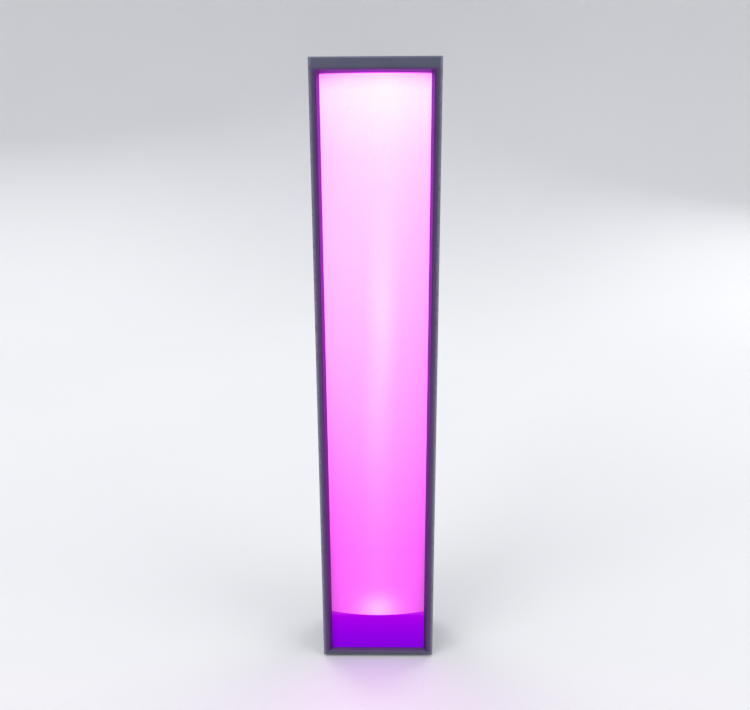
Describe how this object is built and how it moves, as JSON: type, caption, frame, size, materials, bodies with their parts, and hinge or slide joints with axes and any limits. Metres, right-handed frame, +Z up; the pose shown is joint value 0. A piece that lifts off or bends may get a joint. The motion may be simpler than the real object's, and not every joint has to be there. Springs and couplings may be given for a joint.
{
  "type": "led light tube",
  "caption": "Upright battery LED light tube with a framed, bowed diffuser, rear controls, accessory rail and tilting mount arm.",
  "frame": {"origin": "mouth of the 1/4 inch thread in the centre of the base, in the plane the foot stands on", "axes": "+Z up along the tube, lit front towards -Y, control panel and mount towards +Y, charging port towards +X"},
  "size_m": [0.06, 0.0612, 0.31],
  "materials": {
    "anodised_body": "fine satin anodised, cool grey",
    "anodised_frame": "fine satin anodised, cool grey",
    "opal_diffuser": "frosted opal, lit from inside, pink-white",
    "violet_lens": "frosted, lit from inside, violet",
    "silicone_seal": "matte",
    "white_reflector": "matt white",
    "white_board": "white solder mask on aluminium",
    "thermal_pad": "soft matte",
    "led_package": "clear resin over phosphor",
    "cell_wrap": "shrink-wrapped cell",
    "black_plastic": "fine moulded texture",
    "chip_black": "matte epoxy",
    "nickel_strip": "plated strip",
    "green_board": "solder mask",
    "lead_insulation": "red insulation",
    "flex_film": "amber film",
    "ferrite": "dark ferrite",
    "plated_steel": "plated",
    "screen_glass": "polished tinted window",
    "black_screw": "black oxide",
    "brass_insert": "turned",
    "foot_rubber": "matte, fine grip texture",
    "magnet_nickel": "nickel plated",
    "red_button": "satin",
    "grey_button": "satin",
    "knob_metal": "dark anodised, grooved",
    "bright_metal": "turned, bright anodised",
    "orange_plastic": "satin",
    "cover_rubber": "soft matte",
    "loop_steel": "polished wire",
    "mount_metal": "black anodised",
    "bolt_steel": "plated",
    "washer_nylon": "natural",
    "knob_plastic": "moulded, lightly textured"
  },
  "bodies": {
    "light_body": {"housing": "anodised_body", "front_frame": "anodised_frame", "top_cap": "anodised_body", "bottom_cap": "anodised_body", "top_gasket": "silicone_seal", "bottom_gasket": "silicone_seal", "diffuser": "opal_diffuser", "base_lens": "violet_lens", "lens_gasket": "silicone_seal", "reflector": "white_reflector", "divider": "white_reflector", "led_board": "white_board", "thermal_pad": "thermal_pad", "strip_leds": "led_package", "base_leds": "led_package", "top_led_board": "white_board", "uplight_board": "white_board", "end_leds": "led_package", "battery_cells": "cell_wrap", "battery_cradle": "black_plastic", "battery_contacts": "nickel_strip", "protection_board": "green_board", "battery_leads": "lead_insulation", "flex_cable": "flex_film", "control_board": "green_board", "board_chips": "chip_black", "power_inductors": "ferrite", "panel_switches": "plated_steel", "encoder_body": "plated_steel", "port_board": "green_board", "usb_socket": "plated_steel", "display_module": "chip_black", "display_window": "screen_glass", "control_panel": "black_plastic", "panel_screws": "black_screw", "board_screws": "black_screw", "cap_screws": "black_screw", "frame_screws": "black_screw", "top_insert": "brass_insert", "base_insert": "brass_insert", "rubber_foot": "foot_rubber", "base_magnets": "magnet_nickel", "rail_stops": "black_plastic"},
    "power_button": {"power_button": "red_button"},
    "mode_button": {"mode_button": "grey_button"},
    "effect_button": {"effect_button": "grey_button"},
    "dial_stem": {"encoder_plunger": "plated_steel"},
    "dial": {"encoder_shaft": "plated_steel", "dial_knob": "knob_metal", "dial_cap": "bright_metal"},
    "power_switch": {"switch_knob": "orange_plastic"},
    "port_cover": {"port_cover": "cover_rubber"},
    "hanging_loop": {"hanging_loop": "loop_steel"},
    "shoe": {"mount_shoe": "mount_metal", "tilt_bolt": "bolt_steel", "friction_washers": "washer_nylon"},
    "arm": {"tilt_arm": "mount_metal", "arm_insert": "brass_insert"},
    "lock_knob": {"lock_knob": "knob_plastic"}
  },
  "joints": [
    {"name": "power_press", "type": "slide", "parent": "light_body", "child": "power_button", "axis": [0, -1, 0], "range_m": [0, 0.0005], "stiffness_N_per_m": 900},
    {"name": "mode_press", "type": "slide", "parent": "light_body", "child": "mode_button", "axis": [0, -1, 0], "range_m": [0, 0.0005], "stiffness_N_per_m": 900},
    {"name": "effect_press", "type": "slide", "parent": "light_body", "child": "effect_button", "axis": [0, -1, 0], "range_m": [0, 0.0005], "stiffness_N_per_m": 900},
    {"name": "dial_press", "type": "slide", "parent": "light_body", "child": "dial_stem", "axis": [0, -1, 0], "range_m": [0, 0.0005], "stiffness_N_per_m": 1500},
    {"name": "dial_spin", "type": "hinge", "parent": "dial_stem", "child": "dial", "pos_m": [0, 0.019, 0.047], "axis": [0, 1, 0], "continuous": true},
    {"name": "power_slide", "type": "slide", "parent": "light_body", "child": "power_switch", "axis": [1, 0, 0], "range_m": [0, 0.006]},
    {"name": "cover_swing", "type": "hinge", "parent": "light_body", "child": "port_cover", "pos_m": [0.02945, 0.0064, 0.0309], "axis": [0, 1, 0], "range_deg": [0, 105]},
    {"name": "loop_swing", "type": "hinge", "parent": "light_body", "child": "hanging_loop", "pos_m": [0, 0.013, 0.3071], "axis": [-1, 0, 0], "range_deg": [0, 115]},
    {"name": "shoe_slide", "type": "slide", "parent": "light_body", "child": "shoe", "axis": [0, 0, 1], "range_m": [-0.115, 0.0155]},
    {"name": "arm_tilt", "type": "hinge", "parent": "shoe", "child": "arm", "pos_m": [0, 0.031, 0.256], "axis": [1, 0, 0], "range_deg": [0, 180]},
    {"name": "lock_turn", "type": "hinge", "parent": "shoe", "child": "lock_knob", "pos_m": [0.014, 0.031, 0.256], "axis": [1, 0, 0], "range_deg": [0, 180]}
  ]
}
